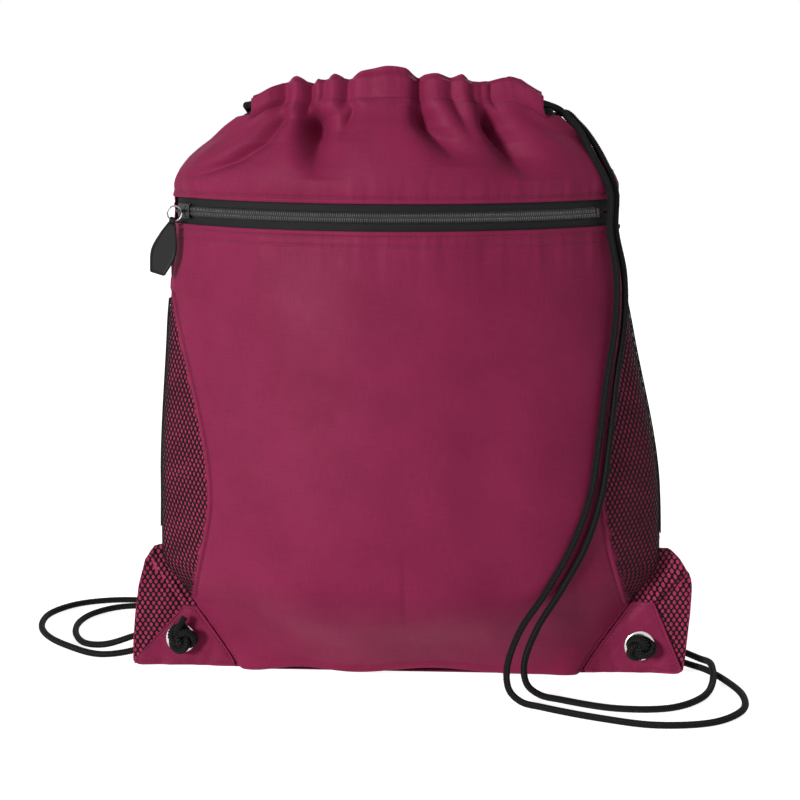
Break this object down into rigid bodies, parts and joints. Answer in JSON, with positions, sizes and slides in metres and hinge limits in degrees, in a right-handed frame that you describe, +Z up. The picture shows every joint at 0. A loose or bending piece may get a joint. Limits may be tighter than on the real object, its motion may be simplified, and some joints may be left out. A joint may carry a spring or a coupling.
{
  "type": "drawstring backpack",
  "caption": "Filled cloth drawstring backpack with a zipped front pocket, net side panels, a gathered mouth and cords knotted through corner grommets.",
  "frame": {"origin": "on the floor under the middle of the bag, midway between its two flat corners and between its front and back", "axes": "+Z up, the front pocket faces -Y, +X to the right of someone who looks at the front"},
  "size_m": [0.4578, 0.2663, 0.3706],
  "materials": {
    "maroon_cloth": "soft sheen woven polyester",
    "black_net": "knitted net",
    "black_tape": "woven tape",
    "black_cord": "braided polyester",
    "black_moulding": "satin moulding",
    "nickel_plate": "nickel plate",
    "dark_wire": "dark plated wire"
  },
  "bodies": {
    "bag": {"back_panel": "maroon_cloth", "pocket_panel": "maroon_cloth", "pocket_back_wall": "maroon_cloth", "upper_front_panel": "maroon_cloth", "left_side_lining": "maroon_cloth", "right_side_lining": "maroon_cloth", "left_side_mesh": "black_net", "right_side_mesh": "black_net", "left_side_binding": "black_tape", "right_side_binding": "black_tape", "front_casing": "maroon_cloth", "back_casing": "maroon_cloth", "left_corner_flap": "black_net", "right_corner_flap": "black_net", "left_corner_patch_front": "maroon_cloth", "right_corner_patch_front": "maroon_cloth", "left_corner_patch_back": "maroon_cloth", "right_corner_patch_back": "maroon_cloth", "left_grommet": "nickel_plate", "right_grommet": "nickel_plate", "left_grommet_washer": "nickel_plate", "right_grommet_washer": "nickel_plate", "left_cord_in_casing": "black_cord", "right_cord_in_casing": "black_cord", "left_strand_front": "black_cord", "left_strand_back": "black_cord", "right_strand_front": "black_cord", "right_strand_back": "black_cord", "zip_tape_upper": "black_tape", "zip_tape_lower": "black_tape", "zip_coil_upper": "black_moulding", "zip_coil_lower": "black_moulding", "zip_left_stop": "black_moulding", "zip_right_stop": "black_moulding"},
    "slider": {"zip_slider": "black_moulding"},
    "ring": {"pull_ring": "dark_wire"},
    "pull": {"pull_tab": "black_moulding"},
    "left_knot_body": {"left_knot": "black_cord"},
    "right_knot_body": {"right_knot": "black_cord"}
  },
  "joints": [
    {"name": "zip_slide", "type": "hinge", "parent": "bag", "child": "slider", "pos_m": [-0.0085, 0.10678, 0.286], "axis": [0, 0, 1], "range_deg": [0, 88]},
    {"name": "ring_swing", "type": "hinge", "parent": "slider", "child": "ring", "pos_m": [-0.13522, -0.01555, 0.286], "axis": [0, 0, 1], "range_deg": [-25, 115]},
    {"name": "pull_swing", "type": "hinge", "parent": "ring", "child": "pull", "pos_m": [-0.13935, -0.01555, 0.2845], "axis": [0, 1, 0], "range_deg": [-8, 90]},
    {"name": "left_knot_slide", "type": "slide", "parent": "bag", "child": "left_knot_body", "axis": [0, -1, 0], "range_m": [0, 0.008]},
    {"name": "right_knot_slide", "type": "slide", "parent": "bag", "child": "right_knot_body", "axis": [0, -1, 0], "range_m": [0, 0.008]}
  ]
}
